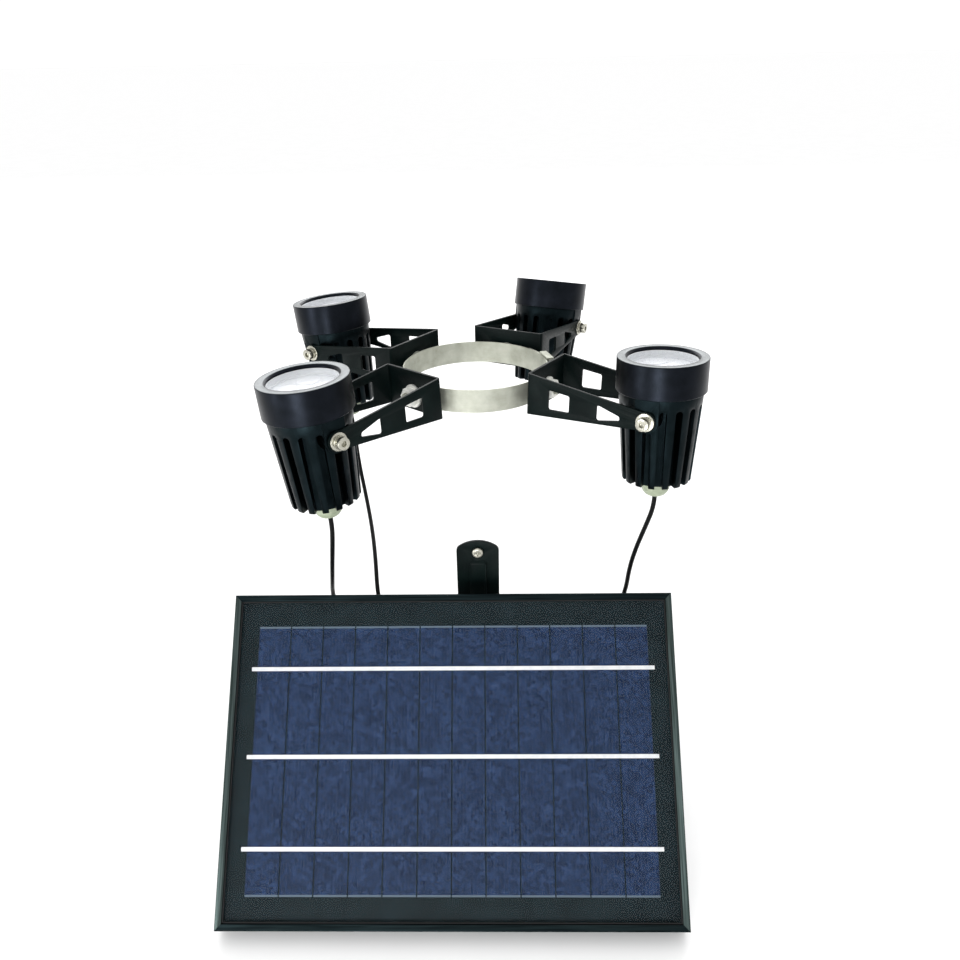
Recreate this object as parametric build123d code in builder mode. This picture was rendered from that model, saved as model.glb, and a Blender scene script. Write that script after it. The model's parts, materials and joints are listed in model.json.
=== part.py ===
from build123d import *
from math import cos, pi, radians, sin, tan
import os

# Solar light set: four tilting spot lamps on a steel clamp band, a hinged solar panel on its
# own mounting plate below them, and the cords between.
# Millimetres. Origin on the clamp axis at the band's mid-height, +Z up, the panel faces -Y.

# Clamp band with welded studs
clamp_bore_radius = 44.45
band_width = 14
band_thickness = 0.8
stud_radius = 3
stud_flange_radius = 6.5
stud_height = 8.5
tail_angle = 24
slot_count = 7
slot_length = 9
slot_width = 1.4
slot_slant = 10
slot_pitch_angle = 3.2

# Worm housing of the band
worm_azimuth = 107
worm_housing_length = 14
worm_housing_foot = 44.9
worm_housing_wall = 1
worm_clearance = 0.1
worm_radius = 3.2
worm_head_across_flats = 7
worm_head_length = 5
worm_slot_width = 1.2
worm_slot_depth = 1.5

# Lamp brackets
bracket_width = 49.5
bracket_height = 24.3
bracket_sheet = 1.5
bracket_fold_radius = 2
bracket_standoff = 2.9
bracket_rise = 3
pivot_reach = 70.6
pivot_drop = 3.8
arm_taper_radius = 5.1
arm_tip_radius = 5.8
arm_windows = (
    ((12.4, -7.2), (25.4, -7), (25.4, 3), (12.4, 4.6)),
    ((42, -8.3), (56.1, -5.9), (55.5, -3.3), (42, 1.3)),
)
window_corner_radius = 1.3

# Flange nuts on the studs
nut_across_flats = 10
nut_height = 5.6
nut_flange_radius = 7
nut_flange_height = 1.4

# Lamp heads, measured along the lens axis from the tilt axis
bezel_radius = 25.4
bezel_top = 31.3
bezel_height = 18.8
bezel_edge_radius = 0.5
bezel_lip_thickness = 2
bezel_lip_radius = 19.6
bezel_rim_radius = 20.8
neck_radius = 21.35
thread_clearance = 0.05
body_top_radius = 23.7
body_bottom_radius = 19.9
body_bottom = -41.2
fin_chamfer_height = 0.8
fin_chamfer_depth = 0.6
fin_count = 16
groove_width = 4.2
groove_top = 6
groove_root_radius = 15.3
recess_radius = 14.2
recess_depth = 6
wire_bore_radius = 3
lamp_floor = 13
lamp_bore_radius = 18.5
glass_thickness = 3
glass_clearance = 0.15
pad_width = 13.6
pad_clearance = 0.05

# Light engine
board_clearance = 0.2
board_thickness = 1.6
chip_size = 3.5
chip_height = 1
lens_pitch = 14
lens_gap = 0.3
lens_top_radius = 6.9
lens_bottom_radius = 3.4
optic_plate = 1.5
optic_gap = 0.5
optic_leg_radius = 1.2
optic_leg_circle = 15.4
optic_leg_count = 3

# Cord gland
gland_across_flats = 18
gland_flange = 4.5
gland_thread_radius = 5.9
gland_thread_length = 7
gland_dome_radius = 8.9
gland_dome_straight = 5
gland_dome_length = 12.5
gland_mouth_radius = 3.4

# Pivot screws with flat and spring washers
screw_radius = 2
screw_clearance = 0.06
screw_head_radius = 3.6
screw_head_height = 3.6
screw_socket = 3
screw_socket_depth = 2
screw_depth = 9
flat_washer_radius = 5.2
flat_washer = 0.8
spring_washer_radius = 3.8
spring_washer = 1
spring_washer_split = 0.8
washer_clearance = 0.15
stack_gap = 0.02

# Where the four lamps stand: azimuth from the front towards +X, bracket roll, outward tilt
lamps = {
    "front_left": {"azimuth": -46.4, "roll": 3.8, "tilt": 2.8},
    "front_right": {"azimuth": 61.2, "roll": -3.2, "tilt": -2.3},
    "back_left": {"azimuth": -125.1, "roll": 0, "tilt": 7.4},
    "back_right": {"azimuth": 155.1, "roll": 0, "tilt": 14.9},
}

# Solar panel, in its own plane: x to the right, y up the slope, depth counted from the front.
# panel_top is the middle of its upper front edge.
panel_width = 273.6
panel_height = 193
panel_lean = 41.4
panel_top = (-16, -64.18, -121.61)
frame_depth = 17
frame_wall = 1.4
frame_edge_radius = 0.8
lip_width = 4
lip_thickness = 1.5
ledge_width = 5
ledge_thickness = 1.2
flange_width = 9
flange_thickness = 1.5
pane_clearance = 0.3
pane_thickness = 2.2
laminate_thickness = 2
strip_count = 12
strip_gap = 0.75
strip_thickness = 0.25
cell_border_side = 15.7
cell_border_end = 18.5
cell_drop = 1
busbar_count = 3
busbar_width = 2.4
busbar_thickness = 0.2
busbar_overhang = 3.5

# Crossbar on the back of the frame, with the hinge lugs
hinge_drop = 28.5
hinge_depth = 30
crossbar_height = 24
crossbar_sheet = 2
crossbar_end_gap = 2
crossbar_fold = 5
crossbar_fold_gap = 2
lug_spacing = 6
lug_sheet = 2
lug_radius = 7
lug_base = 20
crossbar_screw_inset = 5.5
crossbar_screw_pitch = 14
crossbar_screw_radius = 2
crossbar_screw_length = 8
crossbar_screw_head_radius = 3.6
crossbar_screw_head_height = 2.4

# Mounting plate with two ears, its screws, and the hinge bolt
plate_width = 27
plate_sheet = 2.5
plate_top = -94
plate_bottom = -192
plate_arc_radius = 20
plate_corner_radius = 4
plate_screw_inset = 7.5
ear_clearance = 0.1
ear_sheet = 2.2
ear_top = -109
ear_rib_height = 1.4
ear_rib_bottom = -139
ear_bottom = -176
ear_radius = 7.5
bolt_radius = 2.5
bolt_clearance = 0.06
bolt_across_flats = 8
bolt_head_height = 3.5
weld_nut_height = 4
plate_screw_radius = 2
plate_screw_shank = 2.25
plate_screw_clearance = 0.15
plate_screw_head_radius = 3.6
plate_screw_head_height = 2.5
plate_screw_length = 10
cross_recess = 4
cross_recess_width = 0.9
cross_recess_depth = 1.2

# Battery box on the back of the panel
box_width = 120
box_height = 74
box_depth = 22
box_wall = 2
box_drop = 7
box_corner_radius = 6
box_edge_radius = 2
collar_radius = 3.6
collar_length = 5
collar_depth = 21.5
collar_offsets = (-46, -20, 46)
battery_headroom = 1.6
battery_side_gap = 2.6
battery_end_gap = 2.5
circuit_clearance = 0.2
circuit_end_gap = 5
circuit_battery_gap = 14.8
circuit_thickness = 1.6
post_radius = 2.5
post_height = 8
post_inset = 4
switch_size = 7
switch_gap = 0.3
button_inset = (19.8, 11)
button_radius = 5
button_clearance = 0.1
button_proud = 2.5
button_edge_radius = 0.8
button_flange_radius = 6.5
button_flange = 1
button_travel = 1.5

# Cords: each leaves its gland, hangs down behind the panel and enters its collar on the battery
# box. Between the straight ends its points are a list, and it is parted in the middle of two runs.
cord_diameter = 2.8
cord_start = 8
cord_end = 12
cord_pieces = ("top", "middle", "bottom")
cords = {
    "front_left": {
        "collar": 0,
        "parted": (2, 5),
        "points": [
            (-84.2, -80.5, -76.4),
            (-87.8, -71, -95.4),
            (-91.5, -59.5, -114),
            (-96.1, -44, -134),
            (-93, -47.5, -150.5),
            (-81, -57.5, -166),
            (-66.5, -70.5, -169.5),
        ],
    },
    "back_left": {
        "collar": 1,
        "parted": (2, 6),
        "points": [
            (-88.6, 55, -89.4),
            (-81.8, 33, -103.5),
            (-74.4, 4, -114.1),
            (-69.2, -24, -122.1),
            (-66.5, -43.5, -131.5),
            (-64.5, -47.5, -146),
            (-57.5, -54.5, -159.5),
            (-45.5, -64.5, -169),
        ],
    },
    "front_right": {
        "collar": 2,
        "parted": (2, 5),
        "points": [
            (102.2, -60, -76),
            (98.4, -55.5, -93.6),
            (96, -51, -111.1),
            (95.8, -44, -134),
            (89.5, -47.7, -150),
            (73, -56.5, -162.5),
            (51.5, -65, -168),
            (35.5, -73.5, -170),
        ],
    },
}

# Sizes that follow
tail_outer_radius = clamp_bore_radius + 2 * band_thickness
band_outer_radius = clamp_bore_radius + band_thickness
bracket_inner = band_outer_radius + bracket_standoff
bracket_outer = bracket_inner + bracket_sheet
stud_foot = bracket_inner - stack_gap
pivot_distance = bracket_outer + pivot_reach
pivot_level = bracket_rise - pivot_drop
bezel_bottom = bezel_top - bezel_height
glass_top = bezel_top - bezel_lip_thickness
neck_top = glass_top - glass_thickness
gland_seat = body_bottom + recess_depth
gland_mouth = gland_seat - gland_flange - gland_dome_length
pad_face = bracket_width / 2 - bracket_sheet - pad_clearance
board_top = lamp_floor + board_thickness
lens_bottom = board_top + chip_height + lens_gap
lens_top = neck_top - optic_gap - optic_plate
pane_back = lip_thickness + pane_thickness
laminate_back = pane_back + laminate_thickness
lean = radians(panel_lean)
panel_centre = (
    panel_top[0],
    panel_top[1] - sin(lean) * panel_height / 2,
    panel_top[2] - cos(lean) * panel_height / 2,
)
strip_pitch = (panel_width - 2 * cell_border_side + strip_gap) / strip_count
strip_width = strip_pitch - strip_gap
strip_length = panel_height - 2 * cell_border_end
cell_span = strip_count * strip_pitch - strip_gap
busbar_pitch = strip_length / busbar_count
crossbar_back = frame_depth + crossbar_sheet
hinge_height = panel_height / 2 - hinge_drop
box_back = laminate_back + box_depth
box_top = box_height / 2 - box_drop
box_inner_width = box_width - 2 * box_wall
box_inner_height = box_height - 2 * box_wall
cell_can_radius = (box_depth - box_wall - battery_headroom) / 2
battery_length = box_inner_height - 2 * battery_end_gap
battery_offset = box_inner_width / 2 - battery_side_gap - 2 * cell_can_radius
circuit_left = circuit_clearance - box_inner_width / 2
circuit_right = battery_offset - 2 * cell_can_radius - circuit_battery_gap
circuit_width = circuit_right - circuit_left
circuit_height = box_inner_height - 2 * circuit_end_gap
circuit_offset = (circuit_left + circuit_right) / 2
button_offset = (
    circuit_left + button_inset[0],
    -box_drop - circuit_height / 2 + button_inset[1],
)


def write(name, built):
    """Label a finished piece and write its file."""
    built.part.label = name
    export_step(built.part, f"parts/{name}.step")


def radial_plane(azimuth):
    """Plane on the clamp axis whose z looks outwards and whose y is up."""
    a = radians(azimuth)
    return Plane((0, 0, 0), x_dir=(cos(a), sin(a), 0), z_dir=(sin(a), -cos(a), 0))


def turned_about(base, angle):
    """The same plane turned about its own z by an angle in degrees."""
    a = radians(angle)
    return Plane(base.origin, x_dir=base.x_dir * cos(a) + base.y_dir * sin(a), z_dir=base.z_dir)


def side_plane(base):
    """Plane with x along the base's z and y along the base's y."""
    return Plane(base.origin, x_dir=base.z_dir, z_dir=-base.x_dir)


def profile_plane(base):
    """Plane through the base's z axis: x is the radius, y the height along that axis."""
    return Plane(base.origin, x_dir=base.x_dir, z_dir=-base.y_dir)


def facing(base, side):
    """Plane whose z looks along the base's x axis, to one side or the other."""
    return Plane(base.origin, x_dir=base.z_dir, z_dir=base.x_dir * side)


def spread(base, count):
    """Planes through the base's z axis, evenly turned, whose z looks outwards and y along the axis."""
    turned = [turned_about(base, 360 * k / count) for k in range(count)]
    return [Plane(base.origin, x_dir=t.y_dir, z_dir=t.x_dir) for t in turned]


os.makedirs("parts", exist_ok=True)

# The band: a ring, a second layer for its tail with the worm's slots, and four welded studs
studs = [radial_plane(lamp["azimuth"]) for lamp in lamps.values()]
slot_azimuths = [worm_azimuth + tail_angle - (k + 1) * slot_pitch_angle for k in range(slot_count)]
with BuildPart() as clamp_band:
    with BuildSketch(Plane.XY.offset(-band_width / 2)):
        Circle(band_outer_radius)
        with BuildLine():
            tail_arc = CenterArc((0, 0), tail_outer_radius, worm_azimuth - 90, tail_angle)
            Line((0, 0), tail_arc @ 0)
            Line(tail_arc @ 1, (0, 0))
        make_face()
        Circle(clamp_bore_radius, mode=Mode.SUBTRACT)
    extrude(amount=band_width)
    with BuildSketch(*[radial_plane(a).offset(band_outer_radius) for a in slot_azimuths]):
        SlotOverall(slot_length, slot_width, rotation=90 - slot_slant)
    extrude(amount=2 * band_thickness, mode=Mode.SUBTRACT)
    with BuildSketch(*[stud.offset(band_outer_radius - band_thickness / 2) for stud in studs]):
        Circle(stud_flange_radius)
    extrude(amount=stud_foot - band_outer_radius + band_thickness / 2)
    with BuildSketch(*[stud.offset(stud_foot) for stud in studs]):
        Circle(stud_radius)
    extrude(amount=stud_height)
write("clamp_band", clamp_band)

# The stamped housing that holds the worm over the band
worm_plane = radial_plane(worm_azimuth)
worm_centre = tail_outer_radius + worm_clearance + worm_radius
worm_side = Plane(
    worm_plane.origin - worm_plane.x_dir * worm_housing_length / 2,
    x_dir=worm_plane.z_dir,
    z_dir=worm_plane.x_dir,
)
with BuildPart() as clamp_housing:
    with BuildSketch(worm_side):
        with Locations(((worm_housing_foot + worm_centre) / 2, 0)):
            Rectangle(
                worm_centre - worm_housing_foot, band_width + 2 * (worm_housing_wall + worm_clearance)
            )
        with Locations((worm_centre, 0)):
            Circle(worm_radius + worm_clearance + worm_housing_wall)
        with Locations((tail_outer_radius + worm_clearance - band_width / 2, 0)):
            Rectangle(band_width, band_width + 2 * worm_clearance, mode=Mode.SUBTRACT)
        with Locations((worm_centre, 0)):
            Circle(worm_radius + worm_clearance / 2, mode=Mode.SUBTRACT)
    extrude(amount=worm_housing_length)
write("clamp_housing", clamp_housing)

# The worm screw with its hex head and slot
with BuildPart() as clamp_screw:
    with BuildSketch(worm_side):
        with Locations((worm_centre, 0)):
            Circle(worm_radius)
    extrude(amount=worm_housing_length + worm_clearance)
    worm_head = worm_side.offset(worm_housing_length + worm_clearance)
    with BuildSketch(worm_head):
        with Locations((worm_centre, 0)):
            RegularPolygon(worm_head_across_flats / 2, 6, major_radius=False, rotation=30)
    extrude(amount=worm_head_length)
    with BuildSketch(worm_head.offset(worm_head_length)):
        with Locations((worm_centre, 0)):
            Rectangle(2 * worm_head_across_flats, worm_slot_width)
    extrude(amount=-worm_slot_depth, mode=Mode.SUBTRACT)
write("clamp_screw", clamp_screw)

# Flange nuts that hold the brackets on the studs
nut_seats = [stud.offset(bracket_outer + stack_gap) for stud in studs]
with BuildPart() as base_nuts:
    with BuildSketch(*nut_seats):
        Circle(nut_flange_radius)
    extrude(amount=nut_flange_height)
    with BuildSketch(*nut_seats):
        RegularPolygon(nut_across_flats / 2, 6, major_radius=False)
    extrude(amount=nut_height)
    with BuildSketch(*nut_seats):
        Circle(stud_radius + thread_clearance)
    extrude(amount=nut_height, mode=Mode.SUBTRACT)
write("base_nuts", base_nuts)


def make_bracket(name, seat):
    """Folded U bracket: a base plate on the stud and two windowed arms that narrow to the pivot."""
    with BuildPart() as bracket:
        with BuildSketch(seat.offset(bracket_inner)):
            with Locations((0, bracket_rise)):
                Rectangle(bracket_width, bracket_height)
        extrude(amount=bracket_sheet)
        for start in (bracket_width / 2, bracket_sheet - bracket_width / 2):
            with BuildSketch(side_plane(seat).offset(-start)):
                with Locations((bracket_inner + bracket_sheet / 2, bracket_rise)):
                    Rectangle(bracket_sheet, bracket_height)
                with Locations((pivot_distance, pivot_level)):
                    Circle(arm_taper_radius)
                make_hull()
                with Locations((pivot_distance, pivot_level)):
                    Circle(arm_tip_radius)
                for corners in arm_windows:
                    with BuildLine():
                        Polyline(*[(bracket_outer + x, bracket_rise + y) for x, y in corners], close=True)
                    make_face(mode=Mode.SUBTRACT)
                with Locations((pivot_distance, pivot_level)):
                    Circle(screw_radius + screw_clearance, mode=Mode.SUBTRACT)
            extrude(amount=bracket_sheet)
        upright = bracket.edges().filter_by(Axis(seat.origin, seat.y_dir))
        fillet(upright.group_by(Axis(seat.origin, seat.z_dir))[0], bracket_fold_radius)
        across = bracket.edges().filter_by(Axis(seat.origin, seat.x_dir))
        inside = across.filter_by(lambda edge: is_window_corner(edge, seat))
        fillet(inside, window_corner_radius)
        with BuildSketch(seat.offset(bracket_inner)):
            Circle(stud_radius + screw_clearance)
        extrude(amount=bracket_sheet, mode=Mode.SUBTRACT)
    write(f"bracket_{name}", bracket)


def is_window_corner(edge, seat):
    """True for the short edges through an arm at its windows' corners."""
    spot = seat.to_local_coords(edge.center())
    reach = spot.Z - bracket_outer
    rise = spot.Y - bracket_rise
    return any(abs(reach - x) < 0.1 and abs(rise - y) < 0.1 for w in arm_windows for x, y in w)


def make_housing(name, head):
    """Finned heat sink with a threaded neck for the bezel and flat pads for the bracket's arms."""
    with BuildPart() as housing:
        with BuildSketch(profile_plane(head)):
            with BuildLine():
                Polyline(
                    (wire_bore_radius, lamp_floor),
                    (lamp_bore_radius, lamp_floor),
                    (lamp_bore_radius, neck_top),
                    (neck_radius, neck_top),
                    (neck_radius, bezel_bottom),
                    (body_top_radius, bezel_bottom),
                    (body_bottom_radius, body_bottom + fin_chamfer_height),
                    (body_bottom_radius - fin_chamfer_depth, body_bottom),
                    (recess_radius, body_bottom),
                    (recess_radius, gland_seat),
                    (gland_thread_radius + thread_clearance, gland_seat),
                    (gland_thread_radius + thread_clearance, gland_seat + gland_thread_length),
                    (wire_bore_radius, gland_seat + gland_thread_length),
                    close=True,
                )
            make_face()
        revolve(axis=Axis(head.origin, head.z_dir))
        groove_length = groove_top - body_bottom + groove_width
        with BuildSketch(*[plane.offset(groove_root_radius) for plane in spread(head, fin_count)]):
            with Locations((0, groove_top - groove_length / 2)):
                SlotOverall(groove_length, groove_width, rotation=90)
        extrude(amount=body_top_radius, mode=Mode.SUBTRACT)
        for side in (1, -1):
            with BuildSketch(facing(head, side).offset(pad_face)):
                Circle(body_top_radius)
            extrude(amount=body_top_radius, mode=Mode.SUBTRACT)
            with BuildSketch(facing(head, side).offset(groove_root_radius)):
                Circle(pad_width / 2)
                with Locations((bezel_bottom / 2, 0)):
                    Rectangle(bezel_bottom, pad_width)
            extrude(amount=pad_face - groove_root_radius)
            with BuildSketch(facing(head, side).offset(pad_face)):
                Circle(screw_radius + thread_clearance)
            extrude(amount=-screw_depth, mode=Mode.SUBTRACT)
    write(f"housing_{name}", housing)


def make_bezel(name, head):
    """Screw-on bezel ring with a rounded rim and a lip over the glass."""
    with BuildPart() as bezel:
        with BuildSketch(profile_plane(head)):
            with BuildLine():
                Polyline(
                    (neck_radius + thread_clearance, bezel_bottom),
                    (bezel_radius, bezel_bottom),
                    (bezel_radius, bezel_top - bezel_edge_radius),
                )
                RadiusArc(
                    (bezel_radius, bezel_top - bezel_edge_radius),
                    (bezel_radius - bezel_edge_radius, bezel_top),
                    -bezel_edge_radius,
                )
                Polyline(
                    (bezel_radius - bezel_edge_radius, bezel_top),
                    (bezel_rim_radius, bezel_top),
                    (bezel_lip_radius, bezel_top - (bezel_rim_radius - bezel_lip_radius)),
                    (bezel_lip_radius, glass_top),
                    (neck_radius + thread_clearance, glass_top),
                    (neck_radius + thread_clearance, bezel_bottom),
                )
            make_face()
        revolve(axis=Axis(head.origin, head.z_dir))
    write(f"bezel_{name}", bezel)


def make_light_engine(name, head):
    """Front glass, LED board and four-lens optic, stacked in the neck."""
    with BuildPart() as glass:
        with BuildSketch(head.offset(neck_top)):
            Circle(neck_radius - glass_clearance)
        extrude(amount=glass_thickness)
    write(f"lens_glass_{name}", glass)

    with BuildPart() as board:
        with BuildSketch(head.offset(lamp_floor)):
            Circle(lamp_bore_radius - board_clearance)
        extrude(amount=board_thickness)
        with BuildSketch(head.offset(board_top)):
            with GridLocations(lens_pitch, lens_pitch, 2, 2):
                Rectangle(chip_size, chip_size)
        extrude(amount=chip_height)
    write(f"led_board_{name}", board)

    with BuildPart(head.offset(lens_bottom)) as optic:
        with GridLocations(lens_pitch, lens_pitch, 2, 2):
            Cone(
                lens_bottom_radius,
                lens_top_radius,
                lens_top - lens_bottom,
                align=(Align.CENTER, Align.CENTER, Align.MIN),
            )
        with BuildSketch(head.offset(lens_top)):
            Circle(lamp_bore_radius - board_clearance)
        extrude(amount=optic_plate)
        with BuildSketch(head.offset(board_top)):
            with PolarLocations(optic_leg_circle, optic_leg_count):
                Circle(optic_leg_radius)
        extrude(amount=lens_top - board_top)
    write(f"optic_{name}", optic)


def make_gland(name, head):
    """Cord gland: threaded stub, hex flange and domed clamping nut."""
    dome_start = gland_seat - gland_flange
    with BuildPart() as gland:
        with BuildSketch(head.offset(dome_start)):
            RegularPolygon(gland_across_flats / 2, 6, major_radius=False)
        extrude(amount=gland_flange)
        with BuildSketch(head.offset(gland_seat)):
            Circle(gland_thread_radius)
        extrude(amount=gland_thread_length)
        with BuildSketch(profile_plane(head)):
            with BuildLine():
                Polyline(
                    (gland_mouth_radius, gland_mouth),
                    (0, gland_mouth),
                    (0, dome_start),
                    (gland_dome_radius, dome_start),
                    (gland_dome_radius, dome_start - gland_dome_straight),
                )
                TangentArc(
                    (gland_dome_radius, dome_start - gland_dome_straight),
                    (gland_mouth_radius, gland_mouth),
                    tangent=(0, -1),
                )
            make_face()
        revolve(axis=Axis(head.origin, head.z_dir))
    write(f"gland_{name}", gland)


def make_pivot_screws(name, head):
    """Two socket-head screws, each with a flat washer and a split spring washer."""
    flat_start = bracket_width / 2 + stack_gap
    spring_start = flat_start + flat_washer + stack_gap
    head_start = spring_start + spring_washer + stack_gap
    with BuildPart() as hardware:
        for side in (1, -1):
            outward = facing(head, side)
            with BuildSketch(outward.offset(flat_start)):
                Circle(flat_washer_radius)
                Circle(screw_radius + washer_clearance, mode=Mode.SUBTRACT)
            extrude(amount=flat_washer)
            with BuildSketch(outward.offset(spring_start)):
                Circle(spring_washer_radius)
                Circle(screw_radius + washer_clearance, mode=Mode.SUBTRACT)
                with Locations((-spring_washer_radius, 0)):
                    split_length = 2 * spring_washer_radius - screw_radius
                    Rectangle(split_length, spring_washer_split, mode=Mode.SUBTRACT)
            extrude(amount=spring_washer)
            with BuildSketch(outward.offset(head_start)):
                Circle(screw_head_radius)
            extrude(amount=screw_head_height)
            with BuildSketch(outward.offset(head_start)):
                Circle(screw_radius)
            extrude(amount=pad_face - screw_depth - head_start)
            with BuildSketch(outward.offset(head_start + screw_head_height)):
                RegularPolygon(screw_socket / 2, 6, major_radius=False)
            extrude(amount=-screw_socket_depth, mode=Mode.SUBTRACT)
    write(f"pivot_screws_{name}", hardware)


heads = {}
for name, lamp in lamps.items():
    seat = turned_about(radial_plane(lamp["azimuth"]), lamp["roll"])
    tilt = radians(lamp["tilt"])
    heads[name] = Plane(
        seat.origin + seat.z_dir * pivot_distance + seat.y_dir * pivot_level,
        x_dir=seat.x_dir,
        z_dir=seat.y_dir * cos(tilt) + seat.z_dir * sin(tilt),
    )
    make_bracket(name, seat)
    make_housing(name, heads[name])
    make_bezel(name, heads[name])
    make_light_engine(name, heads[name])
    make_gland(name, heads[name])
    make_pivot_screws(name, heads[name])

# The panel's plane: x to the right, y up the slope, z out of the front
panel = Plane(panel_centre, x_dir=(1, 0, 0), z_dir=(0, -cos(lean), sin(lean)))


def make_rail(inward, along, span, length):
    """One frame rail, mitred at both ends, with a front lip, a ledge and a back flange."""
    edge = Plane(panel.origin - inward * span / 2, x_dir=inward, z_dir=along)
    with BuildPart() as rail:
        with BuildSketch(edge.offset(-length / 2)):
            with BuildLine():
                Polyline(
                    (frame_edge_radius, 0),
                    (lip_width, 0),
                    (lip_width, -lip_thickness),
                    (frame_wall, -lip_thickness),
                    (frame_wall, -laminate_back),
                    (ledge_width, -laminate_back),
                    (ledge_width, -laminate_back - ledge_thickness),
                    (frame_wall, -laminate_back - ledge_thickness),
                    (frame_wall, flange_thickness - frame_depth),
                    (flange_width, flange_thickness - frame_depth),
                    (flange_width, -frame_depth),
                    (0, -frame_depth),
                    (0, -frame_edge_radius),
                )
                RadiusArc((0, -frame_edge_radius), (frame_edge_radius, 0), frame_edge_radius)
            make_face()
        extrude(amount=length)
        for end in (1, -1):
            corner = edge.origin + along * end * length / 2
            split(bisect_by=Plane(corner, z_dir=along * end + inward), keep=Keep.BOTTOM)
    return rail.part


with BuildPart() as frame_side_rails:
    add(make_rail(panel.x_dir, -panel.y_dir, panel_width, panel_height))
    add(make_rail(-panel.x_dir, panel.y_dir, panel_width, panel_height))
    with BuildSketch(panel.offset(-frame_depth)):
        with Locations((0, hinge_height)):
            with GridLocations(panel_width - 2 * crossbar_screw_inset, crossbar_screw_pitch, 2, 2):
                Circle(crossbar_screw_radius + thread_clearance)
    extrude(amount=flange_thickness, mode=Mode.SUBTRACT)
write("frame_side_rails", frame_side_rails)

with BuildPart() as frame_end_rails:
    add(make_rail(panel.y_dir, panel.x_dir, panel_height, panel_width))
    add(make_rail(-panel.y_dir, -panel.x_dir, panel_height, panel_width))
write("frame_end_rails", frame_end_rails)

# Clear cover, cells, busbars, and the laminate with a pocket for each
pane_inset = 2 * (frame_wall + pane_clearance)
with BuildPart() as panel_glass:
    with BuildSketch(panel.offset(-pane_back)):
        Rectangle(panel_width - pane_inset, panel_height - pane_inset)
    extrude(amount=pane_thickness)
write("panel_glass", panel_glass)

cells_back = pane_back + busbar_thickness + strip_thickness
with BuildPart() as cell_strips:
    with BuildSketch(panel.offset(-cells_back)):
        with Locations((0, -cell_drop)):
            with GridLocations(strip_pitch, strip_length, strip_count, 1):
                Rectangle(strip_width, strip_length)
    extrude(amount=strip_thickness)
write("cell_strips", cell_strips)

with BuildPart() as busbars:
    with BuildSketch(panel.offset(-pane_back - busbar_thickness)):
        with Locations((0, -cell_drop)):
            with GridLocations(cell_span, busbar_pitch, 1, busbar_count):
                Rectangle(cell_span + 2 * busbar_overhang, busbar_width)
    extrude(amount=busbar_thickness)
write("busbars", busbars)

with BuildPart() as laminate:
    with BuildSketch(panel.offset(-laminate_back)):
        Rectangle(panel_width - pane_inset, panel_height - pane_inset)
    extrude(amount=laminate_thickness)
    with BuildSketch(panel.offset(-cells_back)):
        with Locations((0, -cell_drop)):
            with GridLocations(strip_pitch, strip_length, strip_count, 1):
                Rectangle(strip_width, strip_length)
    extrude(amount=cells_back - pane_back, mode=Mode.SUBTRACT)
    with BuildSketch(panel.offset(-pane_back - busbar_thickness)):
        with Locations((0, -cell_drop)):
            with GridLocations(cell_span, busbar_pitch, 1, busbar_count):
                Rectangle(cell_span + 2 * busbar_overhang, busbar_width)
    extrude(amount=busbar_thickness, mode=Mode.SUBTRACT)
write("laminate", laminate)

# Hinge axis: x up the slope, y towards the front, z along +X
hinge_centre = panel.from_local_coords((-panel_centre[0], hinge_height, -hinge_depth))
hinge = Plane(hinge_centre, x_dir=panel.y_dir, z_dir=panel.x_dir)
hinge_front = hinge_depth - crossbar_back
with BuildPart() as crossbar:
    with BuildSketch(panel.offset(-crossbar_back)):
        with Locations((0, hinge_height)):
            Rectangle(panel_width - 2 * crossbar_end_gap, crossbar_height)
            with GridLocations(panel_width - 2 * crossbar_screw_inset, crossbar_screw_pitch, 2, 2):
                Circle(crossbar_screw_radius + thread_clearance, mode=Mode.SUBTRACT)
    extrude(amount=crossbar_sheet)
    with BuildSketch(panel.offset(-frame_depth)):
        with Locations((0, hinge_height)):
            with GridLocations(1, crossbar_height - crossbar_sheet, 1, 2):
                Rectangle(panel_width - 2 * (flange_width + crossbar_fold_gap), crossbar_sheet)
    extrude(amount=crossbar_fold)
    for start in (lug_spacing / 2 - lug_sheet, -lug_spacing / 2):
        with BuildSketch(hinge.offset(start)):
            Circle(lug_radius)
            with Locations((0, hinge_front + crossbar_sheet / 2)):
                Rectangle(lug_base, crossbar_sheet)
            make_hull()
            Circle(bolt_radius + bolt_clearance, mode=Mode.SUBTRACT)
        extrude(amount=lug_sheet)
write("panel_crossbar", crossbar)


def cross_screw(seat, radius, length, head_radius, head_height):
    """Pan-head screw with a cross recess: its head stands on the seat's z side."""
    with BuildPart() as screw:
        with BuildSketch(seat):
            Circle(radius)
        extrude(amount=-length)
        with BuildSketch(seat):
            Circle(head_radius)
        extrude(amount=head_height)
        fillet(screw.edges().sort_by(Axis(seat.origin, seat.z_dir))[-1], head_height / 2)
        with BuildSketch(seat.offset(head_height)):
            Rectangle(cross_recess, cross_recess_width)
            Rectangle(cross_recess_width, cross_recess)
        extrude(amount=-cross_recess_depth, mode=Mode.SUBTRACT)
    return screw.part


screw_x = panel_width / 2 - crossbar_screw_inset
with BuildPart() as crossbar_screws:
    for x in (-screw_x, screw_x):
        for y in (hinge_height - crossbar_screw_pitch / 2, hinge_height + crossbar_screw_pitch / 2):
            spot = panel.from_local_coords((x, y, -crossbar_back))
            add(cross_screw(
                Plane(spot, x_dir=panel.x_dir, z_dir=-panel.z_dir),
                crossbar_screw_radius,
                crossbar_screw_length,
                crossbar_screw_head_radius,
                crossbar_screw_head_height,
            ))
write("crossbar_screws", crossbar_screws)

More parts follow.
